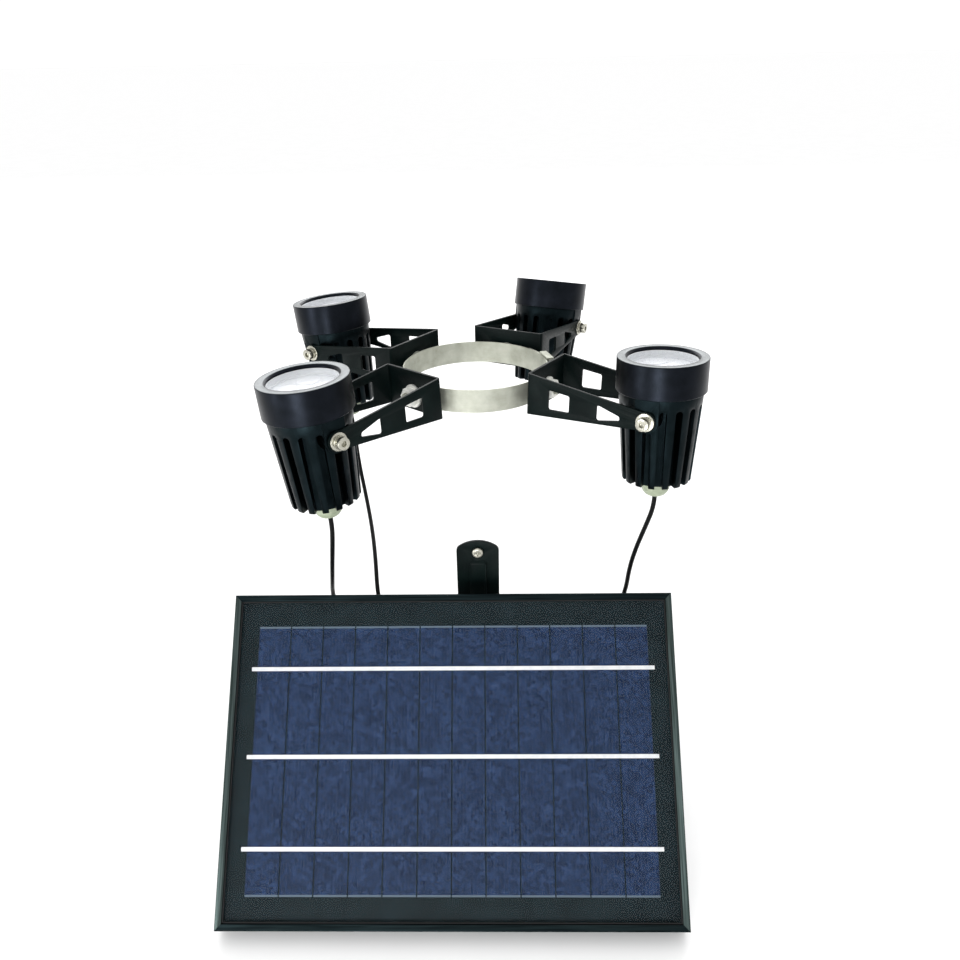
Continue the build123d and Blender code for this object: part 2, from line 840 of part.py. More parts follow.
# Mounting plate: rounded ends, two screw holes, two ears with a low rib, and a weld nut
plate_back = -clamp_bore_radius
plate_front = plate_back - plate_sheet
plate_face = Plane((0, plate_back, 0), x_dir=(1, 0, 0), z_dir=(0, -1, 0))
plate_arc = plate_arc_radius - (plate_arc_radius**2 - (plate_width / 2) ** 2) ** 0.5
plate_holes = [(0, plate_top - plate_screw_inset), (0, plate_bottom + plate_screw_inset)]
ear_inner = lug_spacing / 2 + ear_clearance
with BuildPart() as mount_plate:
    with BuildSketch(plate_face) as plate_outline:
        with BuildLine():
            half = plate_width / 2
            Line((-half, plate_bottom + plate_arc), (-half, plate_top - plate_arc))
            ThreePointArc((-half, plate_top - plate_arc), (0, plate_top), (half, plate_top - plate_arc))
            Line((half, plate_top - plate_arc), (half, plate_bottom + plate_arc))
            ThreePointArc(
                (half, plate_bottom + plate_arc), (0, plate_bottom), (-half, plate_bottom + plate_arc)
            )
        make_face()
        fillet(plate_outline.vertices(), plate_corner_radius)
        with Locations(*plate_holes):
            Circle(plate_screw_shank + plate_screw_clearance, mode=Mode.SUBTRACT)
    extrude(amount=plate_sheet)
    for start in (ear_inner, -ear_inner - ear_sheet):
        with BuildSketch(Plane.YZ.offset(start)):
            with Locations((hinge.origin.Y, hinge.origin.Z)):
                Circle(ear_radius)
            with Locations((plate_front - ear_rib_height / 2, (ear_rib_bottom + ear_bottom) / 2)):
                Rectangle(ear_rib_height, ear_rib_bottom - ear_bottom)
            make_hull()
            with BuildLine():
                Polyline(
                    (plate_front, ear_top),
                    (plate_front, ear_rib_bottom),
                    (plate_front - ear_rib_height, ear_rib_bottom),
                    (plate_front - ear_rib_height, ear_top - ear_rib_height),
                    close=True,
                )
            make_face()
            with Locations((hinge.origin.Y, hinge.origin.Z)):
                Circle(bolt_radius + bolt_clearance, mode=Mode.SUBTRACT)
        extrude(amount=ear_sheet)
    with BuildSketch(hinge.offset(ear_inner + ear_sheet)):
        RegularPolygon(bolt_across_flats / 2, 6, major_radius=False)
        Circle(bolt_radius + bolt_clearance, mode=Mode.SUBTRACT)
    extrude(amount=weld_nut_height)
write("mount_plate", mount_plate)

with BuildPart() as hinge_bolt:
    with BuildSketch(hinge.offset(-ear_inner - ear_sheet - bolt_head_height)):
        RegularPolygon(bolt_across_flats / 2, 6, major_radius=False)
    extrude(amount=bolt_head_height)
    with BuildSketch(hinge.offset(-ear_inner - ear_sheet)):
        Circle(bolt_radius)
    extrude(amount=2 * (ear_inner + ear_sheet) + weld_nut_height + 1)
write("hinge_bolt", hinge_bolt)

with BuildPart() as mount_screws:
    for x, z in plate_holes:
        seat = Plane((x, plate_front, z), x_dir=(1, 0, 0), z_dir=(0, -1, 0))
        add(cross_screw(
            seat, plate_screw_radius, plate_screw_length, plate_screw_head_radius, plate_screw_head_height
        ))
        with BuildSketch(seat):
            Circle(plate_screw_shank)
        extrude(amount=-plate_sheet)
write("mount_screws", mount_screws)

# Battery box: a tray bonded to the laminate, with three cord collars on its top wall
with BuildPart() as battery_box:
    with BuildSketch(panel.offset(-box_back)):
        with Locations((0, -box_drop)):
            RectangleRounded(box_width, box_height, box_corner_radius)
    extrude(amount=box_depth)
    fillet(battery_box.faces().sort_by(Axis(panel.origin, panel.z_dir))[0].edges(), box_edge_radius)
    with BuildSketch(panel.offset(box_wall - box_back)):
        with Locations((0, -box_drop)):
            RectangleRounded(box_inner_width, box_inner_height, box_corner_radius - box_wall)
    extrude(amount=box_depth - box_wall, mode=Mode.SUBTRACT)
    collar_foot = panel.from_local_coords((0, box_top, -collar_depth))
    with BuildSketch(Plane(collar_foot, x_dir=panel.x_dir, z_dir=panel.y_dir)):
        with Locations(*[(x, 0) for x in collar_offsets]):
            Circle(collar_radius)
    extrude(amount=collar_length)
    with BuildSketch(panel.offset(box_wall - box_back)):
        with Locations((circuit_offset, -box_drop)):
            with GridLocations(circuit_width - 2 * post_inset, circuit_height - 2 * post_inset, 2, 2):
                Circle(post_radius)
    extrude(amount=post_height)
    with BuildSketch(panel.offset(-box_back)):
        with Locations(button_offset):
            Circle(button_radius + button_clearance)
    extrude(amount=box_wall, mode=Mode.SUBTRACT)
write("battery_box", battery_box)

with BuildPart() as battery_pack:
    pack_depth = box_back - box_wall - cell_can_radius
    pack_end = panel.from_local_coords((battery_offset, -box_drop - battery_length / 2, -pack_depth))
    with BuildSketch(Plane(pack_end, x_dir=panel.x_dir, z_dir=panel.y_dir)):
        SlotCenterToCenter(2 * cell_can_radius, 2 * cell_can_radius)
    extrude(amount=battery_length)
write("battery_pack", battery_pack)

circuit_back = box_back - box_wall - post_height
switch_height = post_height - button_flange - switch_gap - button_travel
with BuildPart() as circuit_board:
    with BuildSketch(panel.offset(-circuit_back)):
        with Locations((circuit_offset, -box_drop)):
            Rectangle(circuit_width, circuit_height)
    extrude(amount=circuit_thickness)
    with BuildSketch(panel.offset(-circuit_back)):
        with Locations(button_offset):
            Rectangle(switch_size, switch_size)
    extrude(amount=-switch_height)
write("circuit_board", circuit_board)

button_plane = Plane(
    panel.from_local_coords((button_offset[0], button_offset[1], box_wall - box_back)),
    x_dir=panel.x_dir,
    z_dir=-panel.z_dir,
)
with BuildPart() as power_button:
    with BuildSketch(button_plane):
        Circle(button_radius)
    extrude(amount=box_wall + button_proud)
    button_face = power_button.faces().sort_by(Axis(button_plane.origin, button_plane.z_dir))[-1]
    fillet(button_face.edges(), button_edge_radius)
    with BuildSketch(button_plane):
        Circle(button_flange_radius)
    extrude(amount=-button_flange)
write("power_button", power_button)


def corner_radii(route):
    """Radius of the arc at each inner point: as large as its two runs allow."""
    radii = []
    for before, here, after in zip(route, route[1:], route[2:]):
        turn = radians((here - before).get_angle(after - here))
        shorter = min((here - before).length, (after - here).length)
        radii.append(0.45 * shorter / tan(turn / 2))
    return radii


def make_cord(name, route, radii):
    """A round tube along straight runs joined by arcs."""
    with BuildPart() as cord:
        with BuildLine() as path:
            FilletPolyline(*route, radius=radii)
        with BuildSketch(Plane(route[0], z_dir=route[1] - route[0])):
            Circle(cord_diameter / 2)
        sweep()
    write(name, cord)
    length = sum(edge.length for edge in path.edges())
    share = cord.part.volume / (length * pi * cord_diameter**2 / 4)
    print(name, "length", round(length, 1), "volume over section times length", round(share, 4))


for name, cord in cords.items():
    head = heads[name]
    spot = (collar_offsets[cord["collar"]], box_top + collar_length, -collar_depth)
    leaving = [head.from_local_coords((0, 0, gland_mouth - run)) for run in (0, cord_start)]
    entering = [panel.from_local_coords((spot[0], spot[1] + run, spot[2])) for run in (cord_end, 0)]
    route = leaving + [Vector(*point) for point in cord["points"]] + entering
    radii = corner_radii(route)
    print(name, "radii", [round(radius, 1) for radius in radii])
    parts = [-1, *cord["parted"], len(route) - 1]
    for piece, first, last in zip(cord_pieces, parts, parts[1:]):
        points = route[first + 1 : last + 1]
        if first >= 0:
            points = [(route[first] + route[first + 1]) / 2] + points
        if last < len(route) - 1:
            points = points + [(route[last] + route[last + 1]) / 2]
        inner = radii[max(first, 0) : last if last < len(route) - 1 else last - 1]
        make_cord(f"cord_{name}_{piece}", points, inner)
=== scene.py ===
import json
import math

import bmesh
import bpy
from mathutils import Matrix, Vector


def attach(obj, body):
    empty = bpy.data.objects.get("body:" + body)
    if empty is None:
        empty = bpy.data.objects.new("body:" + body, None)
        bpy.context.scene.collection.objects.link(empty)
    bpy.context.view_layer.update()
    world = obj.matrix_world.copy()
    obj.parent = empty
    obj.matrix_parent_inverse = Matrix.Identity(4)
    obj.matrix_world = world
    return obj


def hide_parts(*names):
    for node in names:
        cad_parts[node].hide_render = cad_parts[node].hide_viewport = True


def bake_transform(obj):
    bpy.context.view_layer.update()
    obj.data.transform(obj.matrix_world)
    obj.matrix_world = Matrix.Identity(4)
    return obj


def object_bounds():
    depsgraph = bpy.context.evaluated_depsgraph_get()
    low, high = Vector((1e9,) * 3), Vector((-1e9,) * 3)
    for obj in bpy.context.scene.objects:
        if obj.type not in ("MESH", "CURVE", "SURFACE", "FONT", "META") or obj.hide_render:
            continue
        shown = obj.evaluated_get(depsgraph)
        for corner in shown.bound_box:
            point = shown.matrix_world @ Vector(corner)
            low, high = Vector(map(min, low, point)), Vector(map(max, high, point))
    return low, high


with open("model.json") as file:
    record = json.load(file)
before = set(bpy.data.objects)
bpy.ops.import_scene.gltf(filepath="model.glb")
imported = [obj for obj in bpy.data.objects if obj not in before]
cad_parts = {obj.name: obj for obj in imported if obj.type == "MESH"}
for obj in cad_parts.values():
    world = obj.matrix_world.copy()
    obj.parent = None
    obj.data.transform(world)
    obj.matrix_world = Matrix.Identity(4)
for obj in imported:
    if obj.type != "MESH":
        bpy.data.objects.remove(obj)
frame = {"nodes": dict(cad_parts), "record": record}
cadBox = [list(corner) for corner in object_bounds()]
cadNodes = frame["nodes"]
print("frame loaded with", len(cadNodes), "nodes")

mm = 0.001  # sizes below are in millimetres, the scene is in metres


# the camera stands where the photograph was taken from, in millimetres and degrees
camera = {
    "place": (14.0, -505.2, 185.6),
    "turn": 1.44,  # degrees to the left of straight ahead
    "down": 27.23,
    "roll": -1.2,
    "lens": 31.875,
    "sensor": 36,
}
turn, down, roll = (math.radians(camera[key]) for key in ("turn", "down", "roll"))
forward = Vector((-math.sin(turn) * math.cos(down), math.cos(turn) * math.cos(down), -math.sin(down)))
level = Vector((math.cos(turn), math.sin(turn), 0))
above = level.cross(forward)
rightward = level * math.cos(roll) + above * math.sin(roll)
upward = above * math.cos(roll) - level * math.sin(roll)
photoCamera = bpy.data.objects.new("photoCamera", bpy.data.cameras.new("photoCamera"))
photoCamera.data.lens = camera["lens"]
photoCamera.data.sensor_width = camera["sensor"]
photoCamera.data.clip_start, photoCamera.data.clip_end = 0.02, 30
bpy.context.scene.collection.objects.link(photoCamera)
turned = Matrix((rightward, upward, -forward)).transposed().to_4x4()
photoCamera.matrix_world = Matrix.Translation(Vector(camera["place"]) * mm) @ turned
bpy.context.scene.camera = photoCamera
bpy.context.scene.view_settings.view_transform = "Standard"  # product white stays white
print("camera placed")


def linearColour(hexText, alpha=1.0):
    shares = [int(hexText[i : i + 2], 16) / 255 for i in (0, 2, 4)]
    return [c / 12.92 if c <= 0.04045 else ((c + 0.055) / 1.055) ** 2.4 for c in shares] + [alpha]


def addNode(material, kind, inputs=None, **settings):
    node = material.node_tree.nodes.new("ShaderNode" + kind)
    for name, value in settings.items():
        setattr(node, name, value)
    for name, value in (inputs or {}).items():
        if isinstance(value, bpy.types.NodeSocket):
            material.node_tree.links.new(value, node.inputs[name])
        else:
            node.inputs[name].default_value = value
    return node


def startMaterial(name, colour, **values):
    material = bpy.data.materials.new(name)
    material.use_nodes = True
    material.diffuse_color = linearColour(colour)
    shader = material.node_tree.nodes["Principled BSDF"]
    shader.inputs["Base Color"].default_value = linearColour(colour)
    for key, value in values.items():
        shader.inputs[key.replace("_", " ")].default_value = value
    return material, shader


def feed(material, shader, name, source):
    material.node_tree.links.new(source, shader.inputs[name])


def placed(material, turn=(0, 0, 0), at=(0, 0, 0), stretch=(1, 1, 1)):
    where = addNode(material, "TexCoord").outputs["Object"]
    return addNode(
        material,
        "Mapping",
        {"Vector": where, "Location": at, "Rotation": turn, "Scale": stretch},
        vector_type="POINT",
    ).outputs["Vector"]


def speckle(material, where, sizeMm, detail=3.0, rough=0.55):
    # noise whose grains are about sizeMm across
    return addNode(
        material,
        "TexNoise",
        {"Vector": where, "Scale": 1 / (sizeMm * mm), "Detail": detail, "Roughness": rough},
    ).outputs["Fac"]


def ramp(material, factor, low, high, dark, light):
    node = addNode(material, "ValToRGB", {"Fac": factor})
    first, last = node.color_ramp.elements
    first.position, last.position = low, high
    first.color, last.color = linearColour(dark), linearColour(light)
    return node.outputs["Color"]


def spanned(material, factor, low, high, least, most):
    return addNode(
        material,
        "MapRange",
        {"Value": factor, "From Min": low, "From Max": high, "To Min": least, "To Max": most},
    ).outputs["Result"]


def dented(material, shader, height, depthMm, strength=1.0, under=None):
    inputs = {"Height": height, "Distance": depthMm * mm, "Strength": strength}
    if under is not None:
        inputs["Normal"] = under
    normal = addNode(material, "Bump", inputs).outputs["Normal"]
    feed(material, shader, "Normal", normal)
    return normal


lamps = {  # degrees: azimuth from the front towards +X, roll of the bracket, outward tilt
    "front_left": {"azimuth": -46.4, "roll": 3.8, "tilt": 2.8},
    "front_right": {"azimuth": 61.2, "roll": -3.2, "tilt": -2.3},
    "back_left": {"azimuth": -125.1, "roll": 0, "tilt": 7.4},
    "back_right": {"azimuth": 155.1, "roll": 0, "tilt": 14.9},
}
pivot = {"reach": 120.25, "level": -0.8}


def lampPlace(lamp):
    azimuth, roll, tilt = (math.radians(lamp[key]) for key in ("azimuth", "roll", "tilt"))
    outward = Vector((math.sin(azimuth), -math.cos(azimuth), 0))
    across = Vector((math.cos(azimuth), math.sin(azimuth), 0))
    side = across * math.cos(roll) + Vector((0, 0, 1)) * math.sin(roll)
    rise = outward.cross(side)
    axis = rise * math.cos(tilt) + outward * math.sin(tilt)
    place = Matrix((side, axis.cross(side), axis)).transposed().to_4x4()
    place.translation = (outward * pivot["reach"] + rise * pivot["level"]) * mm
    return place


for lamp in lamps.values():
    lamp["place"] = lampPlace(lamp)

panel = {"top": (-16, -64.18, -121.61), "lean": 41.4, "width": 273.6, "height": 193}
lean = math.radians(panel["lean"])
slope = Vector((0, math.sin(lean), math.cos(lean)))
outOfPanel = Vector((0, -math.cos(lean), math.sin(lean)))
panelPlace = Matrix((Vector((1, 0, 0)), slope, outOfPanel)).transposed().to_4x4()
panelPlace.translation = (Vector(panel["top"]) - slope * panel["height"] / 2) * mm


def powderCoat():
    # polyester powder coat on folded steel: satin black, slightly green, with a fine orange peel
    material, shader = startMaterial("powderCoatedSteel", "050e0d", Roughness=0.42, Specular_IOR_Level=0.07)
    where = placed(material)
    peel = speckle(material, where, 1.1, 2.0)
    patches = speckle(material, where, 14, 3.0)
    feed(material, shader, "Base Color", ramp(material, patches, 0.3, 0.7, "030a0a", "081312"))
    feed(material, shader, "Roughness", spanned(material, peel, 0.3, 0.7, 0.36, 0.48))
    dented(material, shader, peel, 0.02, 0.6)
    return material


def anodised(name, dark, light, rough):
    # black anodised aluminium, fine blasted grain: a dull metal sheen under a near-black dye
    material, shader = startMaterial(name, dark, Metallic=1.0, Roughness=rough)
    where = placed(material)
    grain = speckle(material, where, 0.5, 2.0)
    cloud = speckle(material, where, 9, 3.0)
    feed(material, shader, "Base Color", ramp(material, cloud, 0.3, 0.7, dark, light))
    feed(material, shader, "Roughness", spanned(material, grain, 0.25, 0.75, rough - 0.05, rough + 0.07))
    dented(material, shader, grain, 0.008, 0.4)
    return material


def extruded(name, stretch, dark, light):
    # anodised extrusion: die lines run along the rail
    material, shader = startMaterial(name, dark, Metallic=1.0, Roughness=0.36)
    along = placed(material, stretch=stretch)
    lines = speckle(material, along, 40, 3.0)
    feed(material, shader, "Base Color", ramp(material, lines, 0.35, 0.65, dark, light))
    feed(material, shader, "Roughness", spanned(material, lines, 0.3, 0.7, 0.28, 0.44))
    dented(material, shader, lines, 0.01, 0.3)
    return material


def turnedSteel():
    # A2 stainless screws and washers: bright, warm grey, with fine tool marks
    material, shader = startMaterial("stainlessSteelTurned", "c9c5bb", Metallic=1.0, Roughness=0.24)
    marks = speckle(material, placed(material, stretch=(1, 1, 4)), 0.6, 2.0)
    feed(material, shader, "Base Color", ramp(material, marks, 0.3, 0.7, "98978c", "c3c1b5"))
    feed(material, shader, "Roughness", spanned(material, marks, 0.25, 0.75, 0.18, 0.34))
    dented(material, shader, marks, 0.01, 0.3)
    return material


def bandSteel():
    # cold rolled stainless strip: rolling lines run round the band, pale and a little milky
    material, shader = startMaterial("stainlessSteelRolled", "a9aa9f", Metallic=0.5, Roughness=0.5)
    rolled = speckle(material, placed(material, stretch=(1, 1, 7)), 7, 3.0)
    stains = speckle(material, placed(material), 11, 4.0)
    feed(material, shader, "Base Color", ramp(material, stains, 0.32, 0.68, "989a8d", "b7b9ad"))
    feed(material, shader, "Roughness", spanned(material, rolled, 0.3, 0.7, 0.44, 0.58))
    dented(material, shader, rolled, 0.006, 0.3)
    return material


def zincSteel():
    # zinc plated steel: cool grey, softly bright
    material, shader = startMaterial("zincPlatedSteel", "e6e6e0", Metallic=0.4, Roughness=0.45)
    spangle = speckle(material, placed(material), 1.2, 2.0)
    feed(material, shader, "Base Color", ramp(material, spangle, 0.3, 0.7, "dcdcd6", "f2f2ec"))
    feed(material, shader, "Roughness", spanned(material, spangle, 0.3, 0.7, 0.34, 0.48))
    return material


def coverGlass(name, tint, veil, rough, waveMm):
    # clear tempered glass: light goes straight through, with a thin gloss and a slight tint
    material, shader = startMaterial(name, tint, Roughness=rough, IOR=1.5, Alpha=veil)
    waves = speckle(material, placed(material), waveMm, 1.0)
    feed(material, shader, "Roughness", spanned(material, waves, 0.3, 0.7, rough, rough + 0.02))
    return material


def acrylic():
    # moulded acrylic lens: bright and frosted where the light leaves it
    material, shader = startMaterial(
        "acrylicLens", "f3f5f9", Roughness=0.3, IOR=1.49, Transmission_Weight=0.1
    )
    frost = speckle(material, placed(material), 0.9, 2.0)
    feed(material, shader, "Roughness", spanned(material, frost, 0.3, 0.7, 0.24, 0.4))
    dented(material, shader, frost, 0.01, 0.3)
    return material


def phosphor():
    # silicone with phosphor over the chip: warm yellow, waxy
    material, shader = startMaterial("phosphorSilicone", "e6c63a", Roughness=0.35, IOR=1.41)
    grain = speckle(material, placed(material), 0.4, 2.0)
    feed(material, shader, "Base Color", ramp(material, grain, 0.3, 0.7, "dcb92e", "efd550"))
    return material


def solderResist(name, dark, light):
    # solder resist over copper: an even colour with tracks just raised under it
    material, shader = startMaterial(name, light, Roughness=0.4)
    where = placed(material, turn=(lean, 0, 0))
    tracks = addNode(
        material,
        "TexVoronoi",
        {"Vector": where, "Scale": 1 / (5 * mm)},
        feature="DISTANCE_TO_EDGE",
        distance="MANHATTAN",
    ).outputs["Distance"]
    feed(material, shader, "Base Color", ramp(material, tracks, 0.02, 0.09, dark, light))
    dented(material, shader, tracks, 0.05, 0.3)
    return material


def nylon():
    # moulded nylon: pale grey green, soft gloss, faint flow marks
    material, shader = startMaterial("mouldedNylon", "929a84", Roughness=0.45, Subsurface_Weight=0.08)
    shader.inputs["Subsurface Radius"].default_value = (0.002, 0.002, 0.0015)
    flow = speckle(material, placed(material, stretch=(1, 1, 3)), 5, 3.0)
    feed(material, shader, "Base Color", ramp(material, flow, 0.3, 0.7, "858e78", "9ca48e"))
    feed(material, shader, "Roughness", spanned(material, flow, 0.3, 0.7, 0.38, 0.52))
    return material


def rubber(name, dark, light):
    # moulded rubber: dull, with a dusty bloom
    material, shader = startMaterial(name, dark, Roughness=0.7, Specular_IOR_Level=0.25)
    bloom = speckle(material, placed(material), 2.5, 4.0)
    feed(material, shader, "Base Color", ramp(material, bloom, 0.35, 0.75, dark, light))
    feed(material, shader, "Roughness", spanned(material, bloom, 0.3, 0.7, 0.6, 0.8))
    dented(material, shader, bloom, 0.02, 0.5)
    return material


cell = {
    "finger": 2.0,
    "grain": 1.8,
    "cloud": 9,
    "endLine": 1.1,
    "inkBlur": 0.1,
    "length": 156,
    "centre": (-16, -231.16),
}


def polycrystal():
    # polycrystalline silicon: a mosaic of blue grains, fine silver fingers and a printed line at each end
    material, shader = startMaterial(
        "polycrystallineSilicon", "1c2f50", Roughness=0.45, Specular_IOR_Level=0.1
    )
    across, along = cell["centre"]
    where = placed(material, turn=(lean - math.pi / 2, 0, 0), at=(-across * mm, -along * mm, 0))
    grains = addNode(
        material, "TexVoronoi", {"Vector": where, "Scale": 1 / (cell["grain"] * mm), "Randomness": 1.0}
    )
    shade = addNode(material, "SeparateColor", {"Color": grains.outputs["Color"]}).outputs["Red"]
    cloud = speckle(material, where, cell["cloud"], 4.0, 0.65)
    mixed = addNode(material, "Math", {0: shade, 1: cloud}, operation="MULTIPLY").outputs["Value"]
    blue = ramp(material, mixed, 0.02, 0.6, "152440", "2c4166")
    fingers = addNode(
        material, "TexWave", {"Vector": where, "Scale": math.tau / 20 / (cell["finger"] * mm)}
    ).outputs["Fac"]
    inked = addNode(
        material,
        "Mix",
        {0: spanned(material, fingers, 0.8, 1.0, 0.0, 0.04), 6: blue, 7: linearColour("9aa6b8")},
        data_type="RGBA",
    ).outputs[2]
    upSlope = addNode(material, "SeparateXYZ", {"Vector": where}).outputs["Y"]
    distance = addNode(material, "Math", {0: upSlope}, operation="ABSOLUTE").outputs["Value"]
    edge = (cell["length"] / 2 - cell["endLine"]) * mm
    inkEdge = spanned(material, distance, edge - cell["inkBlur"] * mm, edge, 0.0, 0.7)
    printed = addNode(
        material,
        "Mix",
        {0: inkEdge, 6: inked, 7: linearColour("72838f")},
        data_type="RGBA",
    ).outputs[2]
    feed(material, shader, "Base Color", printed)
    feed(material, shader, "Roughness", spanned(material, shade, 0.0, 1.0, 0.38, 0.55))
    return material


def tinnedRibbon():
    # tinned copper ribbon: bright, nearly white, slightly wavy from the solder
    material, shader = startMaterial("tinnedCopper", "f6f7f8", Metallic=0.3, Roughness=0.5)
    solder = speckle(material, placed(material), 3, 3.0)
    feed(material, shader, "Base Color", ramp(material, solder, 0.3, 0.7, "eceff2", "fdfdfe"))
    feed(material, shader, "Roughness", spanned(material, solder, 0.3, 0.7, 0.4, 0.6))
    dented(material, shader, solder, 0.02, 0.3)
    return material


def backSheet():
    # dark polyester backsheet behind the cells: matt green grey with faint mottling from lamination
    material, shader = startMaterial("polyesterBacksheet", "121f20", Roughness=0.55, Specular_IOR_Level=0.1)
    mottle = speckle(material, placed(material), 12, 3.0, 0.5)
    feed(material, shader, "Base Color", ramp(material, mottle, 0.3, 0.75, "0d1a1e", "18262b"))
    feed(material, shader, "Roughness", spanned(material, mottle, 0.3, 0.7, 0.5, 0.62))
    dented(material, shader, mottle, 0.01, 0.2)
    return material


def mouldedAbs():
    # moulded ABS with a spark eroded grain: matt black
    material, shader = startMaterial("mouldedAbs", "101213", Roughness=0.55, Specular_IOR_Level=0.3)
    grain = speckle(material, placed(material), 0.7, 2.0)
    cloud = speckle(material, placed(material), 30, 2.0)
    feed(material, shader, "Base Color", ramp(material, cloud, 0.3, 0.7, "0e1011", "151819"))
    feed(material, shader, "Roughness", spanned(material, grain, 0.3, 0.7, 0.48, 0.62))
    dented(material, shader, grain, 0.03, 0.6)
    return material


def shrinkSleeve():
    # PVC shrink sleeve on the cells: bright blue and glossy
    material, shader = startMaterial("pvcShrinkSleeve", "2d63ae", Roughness=0.3)
    wrinkle = speckle(material, placed(material, stretch=(1, 1, 2)), 6, 2.0)
    feed(material, shader, "Base Color", ramp(material, wrinkle, 0.3, 0.7, "285aa0", "356cb9"))
    dented(material, shader, wrinkle, 0.05, 0.4)
    return material


def cordPvc():
    # extruded PVC jacket: black, soft gloss, faintly uneven
    material, shader = startMaterial("extrudedPvc", "060707", Roughness=0.36, Specular_IOR_Level=0.1)
    uneven = speckle(material, placed(material), 2, 2.0)
    feed(material, shader, "Base Color", ramp(material, uneven, 0.3, 0.7, "040505", "090a0b"))
    feed(material, shader, "Roughness", spanned(material, uneven, 0.3, 0.7, 0.3, 0.44))
    dented(material, shader, uneven, 0.015, 0.4)
    return material


finishes = {
    "sheet": powderCoat(),
    "head": anodised("anodisedHousing", "0d1416", "141c1f", 0.4),
    "bezel": anodised("anodisedBezel", "14171b", "1b1e24", 0.36),
    # painted sheen: a lighter copy of the bezel's anodised metal for its flat front, standing in for the
    # light it catches
    "bezelFace": anodised("anodisedBezelFacePaintedSheen", "414547", "4d5153", 0.3),
    # painted sheen: the side rails get a lighter copy of the frame's anodised metal than the end rails, for
    # the light they catch
    "sideRail": extruded("anodisedRailSidePaintedSheen", (45, 1, 1), "28312f", "465150"),
    "endRail": extruded("anodisedRailEnd", (1, 45, 45), "0e1517", "1e282a"),
    "screw": turnedSteel(),
    "band": bandSteel(),
    "zinc": zincSteel(),
    "lampGlass": coverGlass("temperedLampGlass", "c9ced2", 0.06, 0.03, 6),
    "panelGlass": coverGlass("solarGlass", "141d20", 0.1, 0.1, 9),
    "optic": acrylic(),
    "phosphor": phosphor(),
    "lampBoard": solderResist("whiteSolderResist", "d4d5d0", "e9e9e4"),
    "board": solderResist("greenSolderResist", "1a4f2f", "215f3a"),
    "gland": nylon(),
    "rubber": rubber("nitrileRubber", "131415", "1f2122"),
    "button": rubber("siliconeButton", "222527", "30343a"),
    "gasket": rubber("whiteSilicone", "d9dbde", "e6e8ea"),
    "cells": polycrystal(),
    "ribbon": tinnedRibbon(),
    "backsheet": backSheet(),
    "abs": mouldedAbs(),
    "sleeve": shrinkSleeve(),
    "cord": cordPvc(),
}

nodeFinishes = {
    "clamp_band": "band",
    "clamp_housing": "band",
    "clamp_screw": "screw",
    "base_nuts": "zinc",
    "bracket": "sheet",
    "housing": "head",
    "bezel": "bezel",
    "lens_glass": "lampGlass",
    "led_board": "lampBoard",
    "optic": "optic",
    "gland": "gland",
    "pivot_screws": "screw",
    "frame_side_rails": "sideRail",
    "frame_end_rails": "endRail",
    "panel_glass": "panelGlass",
    "laminate": "backsheet",
    "cell_strips": "cells",
    "busbars": "ribbon",
    "panel_crossbar": "sheet",
    "crossbar_screws": "screw",
    "mount_plate": "sheet",
    "hinge_bolt": "screw",
    "mount_screws": "screw",
    "battery_box": "abs",
    "battery_pack": "sleeve",
    "circuit_board": "board",
    "power_button": "button",
    "cord": "cord",
}
for name, node in cadNodes.items():
    kind = name
    while kind not in nodeFinishes:
        kind = kind.rpartition("_")[0]
    for slot in node.material_slots:
        slot.material = finishes[nodeFinishes[kind]]
print("materials made:", len(finishes))


def finishPiece(name, mesh, finish, body, replaced=(), place=None, smoothAngle=40):
    # mesh is a bmesh in millimetres; its place goes into the mesh and the object stays at the origin
    bmesh.ops.scale(mesh, vec=(mm, mm, mm), verts=mesh.verts)
    if place is not None:
        bmesh.ops.transform(mesh, matrix=place, verts=mesh.verts)
    bmesh.ops.remove_doubles(mesh, verts=mesh.verts, dist=1e-6)
    bmesh.ops.recalc_face_normals(mesh, faces=mesh.faces)
    data = bpy.data.meshes.new(name)
    mesh.to_mesh(data)
    mesh.free()
    data.materials.append(finishes[finish])
    data.shade_smooth()
    data.set_sharp_from_angle(angle=math.radians(smoothAngle))
    piece = bpy.data.objects.new(name, data)
    bpy.context.scene.collection.objects.link(piece)
    if body is not None:
        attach(piece, body)
    if replaced:
        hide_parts(*replaced)
    return piece


def spun(mesh, outline, steps, centre=(0, 0, 0), closed=True):
    # turns an outline of (radius, height) points round the z axis through centre
    x, y, z = centre
    corners = [mesh.verts.new((x + radius, y, z + height)) for radius, height in outline]
    edges = [mesh.edges.new(pair) for pair in zip(corners, corners[1:])]
    if closed:
        edges.append(mesh.edges.new((corners[-1], corners[0])))
    bmesh.ops.spin(
        mesh,
        geom=corners + edges,
        cent=centre,
        axis=(0, 0, 1),
        dvec=(0, 0, 0),
        angle=math.tau,
        steps=steps,
        use_merge=True,
        use_duplicate=False,
    )


def bevelled(mesh, geom, offset, segments, affect="EDGES"):
    bmesh.ops.bevel(
        mesh,
        geom=geom,
        offset=offset,
        offset_type="OFFSET",
        segments=segments,
        profile=0.5,
        material=-1,
        affect=affect,
    )


